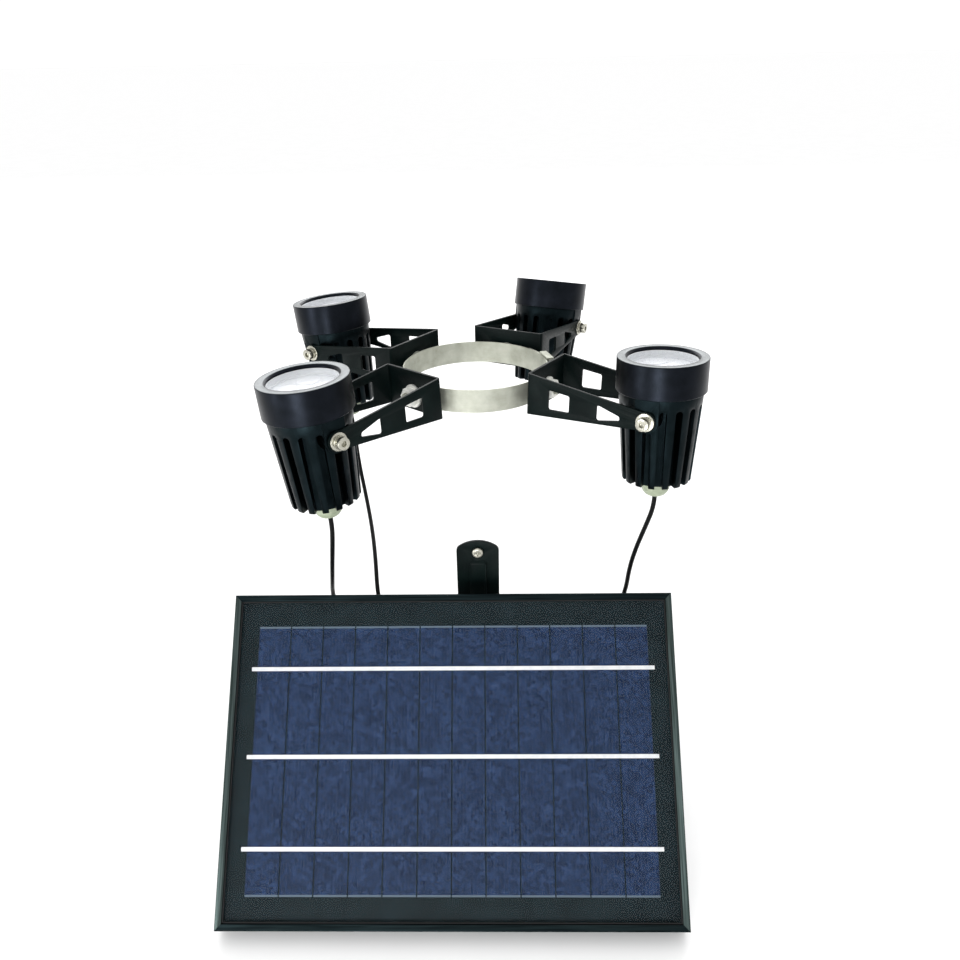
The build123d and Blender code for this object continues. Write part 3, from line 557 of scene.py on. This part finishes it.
cords = {
    "diameter": 2.8,
    "sides": 5,
    "steps": 14,
    "pieces": {  # the routes' points, in metres
        "cord_front_left_top": {
            "bodies": ("head_front_left", "bracket_front_left"),
            "points": [
                (-0.08282, -0.08371, -0.05282),
                (-0.08217, -0.08382, -0.06079),
                (-0.0842, -0.0805, -0.0764),
                (-0.086, -0.07575, -0.0859),
            ],
        },
        "cord_front_left_middle": {
            "bodies": ("bracket_front_left", "mounting"),
            "settled": (-0.0915, -0.0595, -0.114),  # above the panel, so the rest stays clear
            "points": [
                (-0.086, -0.07575, -0.0859),
                (-0.0878, -0.071, -0.0954),
                (-0.0915, -0.0595, -0.114),
                (-0.0961, -0.044, -0.134),
                (-0.09455, -0.04575, -0.14225),
            ],
        },
        "cord_front_left_bottom": {
            "bodies": ("mounting", "panel"),
            "points": [
                (-0.09455, -0.04575, -0.14225),
                (-0.093, -0.0475, -0.1505),
                (-0.081, -0.0575, -0.166),
                (-0.0665, -0.0705, -0.1695),
                (-0.062, -0.08079, -0.17296),
                (-0.062, -0.08872, -0.18196),
            ],
        },
        "cord_back_left_top": {
            "bodies": ("head_back_left", "bracket_back_left"),
            "points": [
                (-0.09288, 0.06528, -0.05257),
                (-0.09204, 0.06469, -0.0605),
                (-0.0886, 0.055, -0.0894),
                (-0.0852, 0.044, -0.09645),
            ],
        },
        "cord_back_left_middle": {
            "bodies": ("bracket_back_left", "mounting"),
            "points": [
                (-0.0852, 0.044, -0.09645),
                (-0.0818, 0.033, -0.1035),
                (-0.0744, 0.004, -0.1141),
                (-0.0692, -0.024, -0.1221),
                (-0.0665, -0.0435, -0.1315),
                (-0.0655, -0.0455, -0.13875),
            ],
        },
        "cord_back_left_bottom": {
            "bodies": ("mounting", "panel"),
            "points": [
                (-0.0655, -0.0455, -0.13875),
                (-0.0645, -0.0475, -0.146),
                (-0.0575, -0.0545, -0.1595),
                (-0.0455, -0.0645, -0.169),
                (-0.036, -0.08079, -0.17296),
                (-0.036, -0.08872, -0.18196),
            ],
        },
        "cord_front_right_top": {
            "bodies": ("head_front_right", "bracket_front_right"),
            "points": [
                (0.10579, -0.06153, -0.05288),
                (0.10585, -0.06208, -0.06086),
                (0.1022, -0.06, -0.076),
                (0.1003, -0.05775, -0.0848),
            ],
        },
        "cord_front_right_middle": {
            "bodies": ("bracket_front_right", "mounting"),
            "settled": (0.096, -0.051, -0.1111),
            "points": [
                (0.1003, -0.05775, -0.0848),
                (0.0984, -0.0555, -0.0936),
                (0.096, -0.051, -0.1111),
                (0.0958, -0.044, -0.134),
                (0.09265, -0.04585, -0.142),
            ],
        },
        "cord_front_right_bottom": {
            "bodies": ("mounting", "panel"),
            "points": [
                (0.09265, -0.04585, -0.142),
                (0.0895, -0.0477, -0.15),
                (0.073, -0.0565, -0.1625),
                (0.0515, -0.065, -0.168),
                (0.0355, -0.0735, -0.17),
                (0.03, -0.08079, -0.17296),
                (0.03, -0.08872, -0.18196),
            ],
        },
    },
}


def makeCord(name, points):
    curve = bpy.data.curves.new(name + "_route", "CURVE")
    curve.dimensions = "3D"
    curve.resolution_u = cords["steps"]
    spline = curve.splines.new("NURBS")
    spline.points.add(len(points) - 1)
    for point, spot in zip(spline.points, points):
        point.co = (*spot, 1)
    spline.order_u = 3
    spline.use_endpoint_u = True
    route = bpy.data.objects.new(name + "_route", curve)
    line = bpy.data.meshes.new_from_object(route)
    path = [vertex.co.copy() for vertex in line.vertices]
    bpy.data.meshes.remove(line)
    curve.bevel_depth = cords["diameter"] / 2 * mm
    curve.bevel_resolution = cords["sides"]
    curve.use_fill_caps = True
    tube = bpy.data.meshes.new_from_object(route)
    bpy.data.objects.remove(route)
    tube.name = name + "_tube"
    tube.materials.clear()
    tube.materials.append(finishes["cord"])
    tube.shade_smooth()
    piece = bpy.data.objects.new(name + "_jacket", tube)
    bpy.context.scene.collection.objects.link(piece)
    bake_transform(piece)
    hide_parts(name)
    length = sum((b - a).length for a, b in zip(path, path[1:]))
    return length


for name, cord in cords["pieces"].items():
    length = makeCord(name, cord["points"])
    print(name, "length", round(length * 1000, 1))

easing = {  # how far each kind of node's edges are rounded, in millimetres
    "bracket": 0.25,
    "housing": 0.3,
    "pivot_screws": 0.2,
    "base_nuts": 0.12,
    "clamp_housing": 0.2,
    "clamp_screw": 0.2,
    "mount_plate": 0.3,
    "mount_screws": 0.15,
    "hinge_bolt": 0.2,
    "panel_crossbar": 0.25,
    "crossbar_screws": 0.15,
    "frame_side_rails": 0.2,
    "frame_end_rails": 0.2,
}
nodeBodies = {node: body for body, nodes in frame["record"]["behaviour"]["bodies"].items() for node in nodes}


def makeEased(name, width):
    # a merged copy of the node with rounded edges, because a real edge catches the light
    mesh = bmesh.new()
    mesh.from_mesh(cadNodes[name].data)
    bmesh.ops.remove_doubles(mesh, verts=mesh.verts, dist=1e-6)
    bmesh.ops.dissolve_limit(
        mesh, angle_limit=math.radians(0.3), verts=mesh.verts, edges=mesh.edges, use_dissolve_boundaries=False
    )
    data = bpy.data.meshes.new(name + "_eased")
    mesh.to_mesh(data)
    mesh.free()
    data.materials.clear()
    data.materials.append(cadNodes[name].material_slots[0].material)
    data.shade_smooth()
    piece = bpy.data.objects.new(name + "_eased", data)
    bpy.context.scene.collection.objects.link(piece)
    bevel = piece.modifiers.new("edges", "BEVEL")
    bevel.width = width * mm
    bevel.segments = 2
    bevel.limit_method = "ANGLE"
    bevel.angle_limit = math.radians(38)
    bevel.harden_normals = True
    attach(piece, nodeBodies[name])
    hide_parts(name)


for name in cadNodes:
    for kind, width in easing.items():
        if name.startswith(kind):
            makeEased(name, width)
print("edges rounded")

# the four-lens optic in each lamp
optic = {
    "pitch": 14,
    "web": (24.3, 25.4),
    "webRadius": 18.25,
    "webEdge": 0.3,
    "webSteps": 72,
    "steps": 40,
    "outline": [  # one lens: a well round the chip, a flared side, a rim and a dished front
        (0, 18.4),
        (1.6, 18.0),
        (2.4, 15.9),
        (3.4, 15.9),
        (4.6, 18.2),
        (5.8, 21.2),
        (6.7, 24.3),
        (6.9, 25.6),
        (6.5, 25.8),
        (6.0, 25.3),
        (4.4, 24.5),
        (2.7, 24.2),
        (1.7, 24.4),
        (1.6, 22.9),
        (0, 22.6),
    ],
    "legRadius": 1.2,
    "legCircle": 15.4,
    "legFoot": 14.6,
    "legSteps": 16,
}


def makeOptic(name, place):
    mesh = bmesh.new()
    half = optic["pitch"] / 2
    for x in (-half, half):
        for y in (-half, half):
            spun(mesh, optic["outline"], optic["steps"], centre=(x, y, 0), closed=False)
    low, high = optic["web"]
    radius, edge = optic["webRadius"], optic["webEdge"]
    web = [(0, low), (radius, low), (radius, high - edge), (radius - edge, high), (0, high)]
    spun(mesh, web, optic["webSteps"], closed=False)
    foot, thickness = optic["legFoot"], optic["legRadius"]
    leg = [(0, foot), (thickness, foot), (thickness, low), (0, low)]
    for k in range(3):
        angle = math.tau * k / 3
        spot = (optic["legCircle"] * math.cos(angle), optic["legCircle"] * math.sin(angle), 0)
        spun(mesh, leg, optic["legSteps"], centre=spot, closed=False)
    finishPiece(
        "lens_array_" + name, mesh, "optic", "head_" + name, ("optic_" + name,), place
    )


chips = {"radius": 1.5, "height": 1.2, "foot": 15.6, "steps": 20}


def makeChipDomes(name, place):
    mesh = bmesh.new()
    half = optic["pitch"] / 2
    outline = [(chips["radius"], chips["foot"])] + [
        (
            chips["radius"] * math.cos(math.radians(angle)),
            chips["foot"] + chips["height"] * math.sin(math.radians(angle)),
        )
        for angle in (15, 30, 45, 60, 75)
    ] + [(0, chips["foot"] + chips["height"])]
    for x in (-half, half):
        for y in (-half, half):
            spun(mesh, [(0, chips["foot"])] + outline, chips["steps"], centre=(x, y, 0), closed=False)
    finishPiece("chip_domes_" + name, mesh, "phosphor", "head_" + name, (), place)


# the cord gland under each lamp
gland = {
    "acrossFlats": 18,
    "hexEdge": 0.4,
    "seat": -35.2,
    "seatGap": 0.2,
    "flange": 4.5,
    "threadRadius": 5.9,
    "threadTop": -28.2,
    "threadEdge": 0.4,
    "threadSteps": 40,
    "ribs": 18,
    "ribDepth": 0.35,
    "ribFoot": -44.8,
    "ribInner": 8.4,
    "boreTop": 0.4,
    "boreFoot": -50.8,
    "sealSteps": 32,
    "outline": [  # the domed clamping nut
        (3.5, -52.2),
        (4.9, -51.95),
        (6.2, -51.1),
        (7.3, -49.7),
        (8.1, -47.8),
        (8.6, -45.3),
        (8.75, -43.2),
        (8.75, -41),
        (8.3, -40.4),
        (8.3, -39.3),
    ],
    "bore": 2.6,
    "seal": [(1.45, -52.2), (1.75, -52.5), (2.9, -52.4), (3.35, -52.0), (3.35, -49.7), (1.45, -49.7)],
}


def makeGland(name, place):
    mesh = bmesh.new()
    turns = gland["ribs"] * 4
    top = gland["seat"] - gland["flange"]
    spun(
        mesh,
        [(gland["bore"], top + gland["boreTop"]), (gland["bore"], gland["boreFoot"])] + gland["outline"],
        turns,
    )
    for vertex in mesh.verts:  # grip ribs: every other pair of the turns stands back
        radius = math.hypot(vertex.co.x, vertex.co.y)
        if radius > gland["ribInner"] and vertex.co.z > gland["ribFoot"]:
            turn = math.atan2(vertex.co.y, vertex.co.x) / math.tau * turns
            if round(turn) % 4 in (2, 3):
                shrink = (radius - gland["ribDepth"]) / radius
                vertex.co.x *= shrink
                vertex.co.y *= shrink
    hexagon = bmesh.ops.create_circle(
        mesh, cap_ends=True, segments=6, radius=gland["acrossFlats"] / math.sqrt(3),
        matrix=Matrix.Translation((0, 0, top)) @ Matrix.Rotation(math.radians(30), 4, "Z"),
    )
    face = hexagon["verts"][0].link_faces[0]
    grown = bmesh.ops.extrude_face_region(mesh, geom=[face])
    raised = [item for item in grown["geom"] if isinstance(item, bmesh.types.BMVert)]
    bmesh.ops.translate(mesh, vec=(0, 0, gland["flange"]), verts=raised)
    hexFaces = [f for f in mesh.faces if all(v in hexagon["verts"] or v in raised for v in f.verts)]
    hexEdges = list({edge for f in hexFaces for edge in f.edges})
    bevelled(mesh, hexEdges, gland["hexEdge"], 2)
    spun(
        mesh,
        [
            (0, gland["seat"] - gland["seatGap"]),
            (gland["threadRadius"], gland["seat"] - gland["seatGap"]),
            (gland["threadRadius"], gland["threadTop"] - gland["threadEdge"]),
            (gland["threadRadius"] - gland["threadEdge"], gland["threadTop"]),
            (0, gland["threadTop"]),
        ],
        gland["threadSteps"],
        closed=False,
    )
    finishPiece("cord_gland_" + name, mesh, "gland", "head_" + name, ("gland_" + name,), place)
    seal = bmesh.new()
    spun(seal, gland["seal"], gland["sealSteps"])
    finishPiece("gland_seal_" + name, seal, "rubber", "head_" + name, (), place)


# the glass in front of each lamp, and the white silicone gasket round its edge
lampGlass = {
    "steps": 96,
    "outline": [(0, 26.35), (18.9, 26.35), (19.2, 26.65), (19.2, 28.95), (18.9, 29.25), (0, 29.25)],
}
gasket = {
    "steps": 96,
    "outline": [  # down to the optic's plate inside the bore, and up beside the glass
        (17.9, 25.42),
        (18.4, 25.42),
        (18.4, 26.32),
        (21.1, 26.32),
        (21.1, 29.2),
        (19.5, 29.2),
        (19.25, 28.95),
        (19.25, 26.34),
        (17.9, 26.34),
    ],
}


def makeLampGlass(name, place):
    mesh = bmesh.new()
    spun(mesh, lampGlass["outline"], lampGlass["steps"], closed=False)
    replaced = ("lens_glass_" + name,)
    finishPiece("front_glass_" + name, mesh, "lampGlass", "head_" + name, replaced, place)
    mesh = bmesh.new()
    spun(mesh, gasket["outline"], gasket["steps"])
    finishPiece("glass_gasket_" + name, mesh, "gasket", "head_" + name, (), place)


# the bezel screwed on each lamp
bezel = {
    "steps": 144,
    "face": 31.1,
    "outline": [
        (21.4, 12.5),
        (25.15, 12.5),
        (25.4, 12.75),
        (25.4, 30.8),
        (25.36, 30.99),
        (25.25, 31.15),
        (25.09, 31.26),
        (24.9, 31.3),
        (20.9, 31.3),
        (20.65, 31.2),
        (19.75, 30.3),
        (19.6, 30.05),
        (19.6, 29.3),
        (21.4, 29.3),
    ],
}


def makeBezel(name, place):
    mesh = bmesh.new()
    spun(mesh, bezel["outline"], bezel["steps"])
    for face in mesh.faces:  # painted sheen: the flat front gets a lighter copy of the bezel's anodised metal, so it reads lighter where it faces the light
        if face.calc_center_median().z > bezel["face"]:
            face.material_index = 1
    replaced = ("bezel_" + name,)
    ring = finishPiece("bezel_ring_" + name, mesh, "bezel", "head_" + name, replaced, place)
    ring.data.materials.append(finishes["bezelFace"])


for name, lamp in lamps.items():
    makeBezel(name, lamp["place"])
    makeOptic(name, lamp["place"])
    makeChipDomes(name, lamp["place"])
    makeGland(name, lamp["place"])
    makeLampGlass(name, lamp["place"])
print("lamp details made")

# the panel's glass, a hair above the cells that it is laminated to
pane = {"width": 270.2, "height": 189.6, "front": -1.5, "back": -3.67, "edge": 0.4, "smooth": 10}


def makePane():
    mesh = bmesh.new()
    made = bmesh.ops.create_cube(mesh, size=1)
    size = (pane["width"], pane["height"], pane["front"] - pane["back"])
    bmesh.ops.scale(mesh, vec=size, verts=made["verts"])
    bmesh.ops.translate(mesh, vec=(0, 0, (pane["front"] + pane["back"]) / 2), verts=mesh.verts)
    bevelled(mesh, list(mesh.edges), pane["edge"], 2)
    replaced = ("panel_glass",)  # the small smoothing angle keeps the wide faces truly flat
    finishPiece(
        "solar_pane", mesh, "panelGlass", "panel", replaced, panelPlace, pane["smooth"]
    )


makePane()

# the silicone bead round the panel's glass
bead = {"inset": 4.0, "width": 0.9, "height": 0.5, "depth": 1.5, "edge": 0.3}


def makeBead():
    mesh = bmesh.new()
    outer = (panel["width"] / 2 - bead["inset"], panel["height"] / 2 - bead["inset"])
    made = bmesh.ops.create_grid(mesh, x_segments=1, y_segments=1, size=1.0)
    bmesh.ops.scale(mesh, vec=(outer[0], outer[1], 1), verts=made["verts"])
    face = made["verts"][0].link_faces[0]
    bmesh.ops.inset_region(
        mesh, faces=[face], thickness=bead["width"], use_even_offset=True, use_boundary=True
    )
    bmesh.ops.delete(mesh, geom=[face], context="FACES")
    grown = bmesh.ops.extrude_face_region(mesh, geom=list(mesh.faces))
    raised = [item for item in grown["geom"] if isinstance(item, bmesh.types.BMVert)]
    bmesh.ops.translate(mesh, vec=(0, 0, bead["height"]), verts=raised)
    bmesh.ops.translate(mesh, vec=(0, 0, -bead["depth"]), verts=mesh.verts)
    top = -bead["depth"] + bead["height"]
    crest = [edge for edge in mesh.edges if all(abs(v.co.z - top) < 1e-4 for v in edge.verts)]
    rims = [edge for edge in crest if edge.calc_face_angle(0) > 1]
    bevelled(mesh, rims, bead["edge"], 3)
    finishPiece("panel_bead", mesh, "rubber", "panel", (), panelPlace)


makeBead()

# the pressed rib that joins the tops of the mounting plate's two ears
plateRib = {
    "width": 9.4,
    "top": -107.5,
    "foot": -134,
    "front": -46.95,
    "rise": 1.5,
    "sunk": 0.4,
    "shoulder": 2.2,
    "edge": 0.6,
}


def makePlateRib():
    mesh = bmesh.new()
    made = bmesh.ops.create_cube(mesh, size=1)
    height = plateRib["top"] - plateRib["foot"]
    sunk, rise = plateRib["sunk"], plateRib["rise"]
    bmesh.ops.scale(mesh, vec=(plateRib["width"], rise + sunk, height), verts=made["verts"])
    middle = (plateRib["top"] + plateRib["foot"]) / 2
    centre = (0, plateRib["front"] + sunk / 2 - rise / 2, middle)
    bmesh.ops.translate(mesh, vec=centre, verts=mesh.verts)
    front = min(vertex.co.y for vertex in mesh.verts)
    crest = [v for v in mesh.verts if v.co.y < front + 0.1 and v.co.z > centre[2]]
    bmesh.ops.translate(mesh, vec=(0, 0, -plateRib["shoulder"]), verts=crest)
    rims = [edge for edge in mesh.edges if any(v.co.y < front + 0.1 for v in edge.verts)]
    bevelled(mesh, rims, plateRib["edge"], 3)
    finishPiece("plate_rib", mesh, "sheet", "mounting")


makePlateRib()

# the battery box's lid seam, its screws and the ring round its button
box = {
    "centre": (0, -7),
    "back": 27.7,
    "seam": (110, 64),
    "seamCorner": 5,
    "seamWidth": 1.6,
    "seamRise": 0.5,
    "seamSunk": 0.1,
    "seamEdge": 0.2,
    "screws": (49.5, 26.5),
    "screwSteps": 32,
    "screwOutline": [
        (0, -0.6),
        (1.3, -0.6),
        (1.3, 0.9),
        (1.7, 1.3),
        (2.5, 1.0),
        (2.9, 0.4),
        (2.9, 0),
        (0, 0),
    ],
    "button": (-38, -26),
    "ringSteps": 48,
    "ringOutline": [(5.3, -0.1), (5.3, 0.7), (5.6, 1), (6.4, 1), (6.8, 0.6), (6.8, -0.1)],
}


def boxBack(x, y):
    # a place on the box's back whose z points out of it
    turned = Matrix.Rotation(math.pi, 4, "X")
    return panelPlace @ Matrix.Translation(Vector((x, y, -box["back"])) * mm) @ turned


def makeSeam():
    mesh = bmesh.new()
    width, height = box["seam"]
    made = bmesh.ops.create_grid(mesh, x_segments=1, y_segments=1, size=0.5)
    bmesh.ops.scale(mesh, vec=(width, height, 1), verts=made["verts"])
    bevelled(mesh, made["verts"], box["seamCorner"], 8, "VERTICES")
    middle = list(mesh.faces)
    bmesh.ops.inset_region(
        mesh, faces=middle, thickness=box["seamWidth"], use_even_offset=True, use_boundary=True
    )
    bmesh.ops.delete(mesh, geom=middle, context="FACES")
    grown = bmesh.ops.extrude_face_region(mesh, geom=list(mesh.faces))
    raised = [item for item in grown["geom"] if isinstance(item, bmesh.types.BMVert)]
    bmesh.ops.translate(mesh, vec=(0, 0, box["seamRise"] + box["seamSunk"]), verts=raised)
    bmesh.ops.translate(mesh, vec=(0, 0, -box["seamSunk"]), verts=mesh.verts)
    crest = [edge for edge in mesh.edges if all(v.co.z > box["seamRise"] / 2 for v in edge.verts)]
    rims = [edge for edge in crest if edge.calc_face_angle(0) > 1]
    bevelled(mesh, rims, box["seamEdge"], 2)
    finishPiece("box_seam", mesh, "abs", "panel", (), boxBack(*box["centre"]))


def makeBoxFittings():
    screwX, screwY = box["screws"]
    for number, (x, y) in enumerate(((-1, -1), (1, -1), (1, 1), (-1, 1))):
        mesh = bmesh.new()
        spun(mesh, box["screwOutline"], box["screwSteps"], closed=False)
        seat = boxBack(box["centre"][0] + x * screwX, box["centre"][1] + y * screwY)
        finishPiece("box_screw_" + str(number + 1), mesh, "screw", "panel", (), seat)
    mesh = bmesh.new()
    spun(mesh, box["ringOutline"], box["ringSteps"])
    finishPiece("button_ring", mesh, "abs", "panel", (), boxBack(*box["button"]))


makeSeam()
makeBoxFittings()

sleeve = {  # tapered rubber sleeves where the cords enter the box
    "steps": 28,
    "outline": [(1.45, 0), (3.3, 0), (3.3, 1.2), (2.9, 1.6), (2.6, 3.2), (2.2, 8.6), (1.95, 9), (1.45, 9)],
}


def makeSleeves():
    for name in ("front_left", "back_left", "front_right"):
        mesh = bmesh.new()
        spun(mesh, sleeve["outline"], sleeve["steps"])
        upright = (panelPlace.to_3x3() @ Matrix.Rotation(-math.pi / 2, 3, "X")).to_4x4()
        entry = cords["pieces"]["cord_" + name + "_bottom"]["points"][-1]
        seat = Matrix.Translation(Vector(entry)) @ upright
        finishPiece("cord_sleeve_" + name, mesh, "rubber", "panel", (), seat)


makeSleeves()
print("panel details made")

studio = {
    "floorSize": 60,
    "floorGap": 0.0005,
    "worldStrength": 1.08,
    "lights": {  # place, aim, size in metres, watts
        "softboxBack": ((0, 2.3, 1.25), (0, 0, -0.05), (2.8, 1.3), 46),
        "stripFront": ((-0.25, -1.15, -0.08), (-0.03, -0.1, -0.02), (0.34, 0.36), 6),
        "stripLeft": ((-1.15, -0.75, 0.1), (0, 0, -0.05), (0.2, 0.7), 6),
    },
}
floorMesh = bmesh.new()
bmesh.ops.create_grid(floorMesh, x_segments=1, y_segments=1, size=studio["floorSize"] / 2)
bmesh.ops.translate(floorMesh, vec=(0, 0, cadBox[0][2] - studio["floorGap"]), verts=floorMesh.verts)
floorData = bpy.data.meshes.new("studioFloor")
floorMesh.to_mesh(floorData)
floorMesh.free()
# a roll of matt white paper
paper, paperShader = startMaterial("whitePaper", "f6f6f6", Roughness=0.9, Specular_IOR_Level=0.1)
clouds = speckle(paper, placed(paper), 60, 2.0)
feed(paper, paperShader, "Base Color", ramp(paper, clouds, 0.3, 0.7, "f5f5f5", "f7f7f7"))
floorData.materials.append(paper)
studioFloor = bpy.data.objects.new("studioFloor", floorData)
bpy.context.scene.collection.objects.link(studioFloor)

world = bpy.data.worlds.new("studioWorld")
world.use_nodes = True
world.node_tree.nodes["Background"].inputs["Color"].default_value = linearColour("ffffff")
world.node_tree.nodes["Background"].inputs["Strength"].default_value = studio["worldStrength"]
bpy.context.scene.world = world
for name, (place, aim, size, watts) in studio["lights"].items():
    light = bpy.data.lights.new(name, "AREA")
    light.shape = "RECTANGLE"
    light.size, light.size_y = size
    light.energy = watts
    holder = bpy.data.objects.new(name, light)
    bpy.context.scene.collection.objects.link(holder)
    faced = (Vector(aim) - Vector(place)).to_track_quat("-Z", "Y").to_matrix().to_4x4()
    holder.matrix_world = Matrix.Translation(place) @ faced
print("studio set")
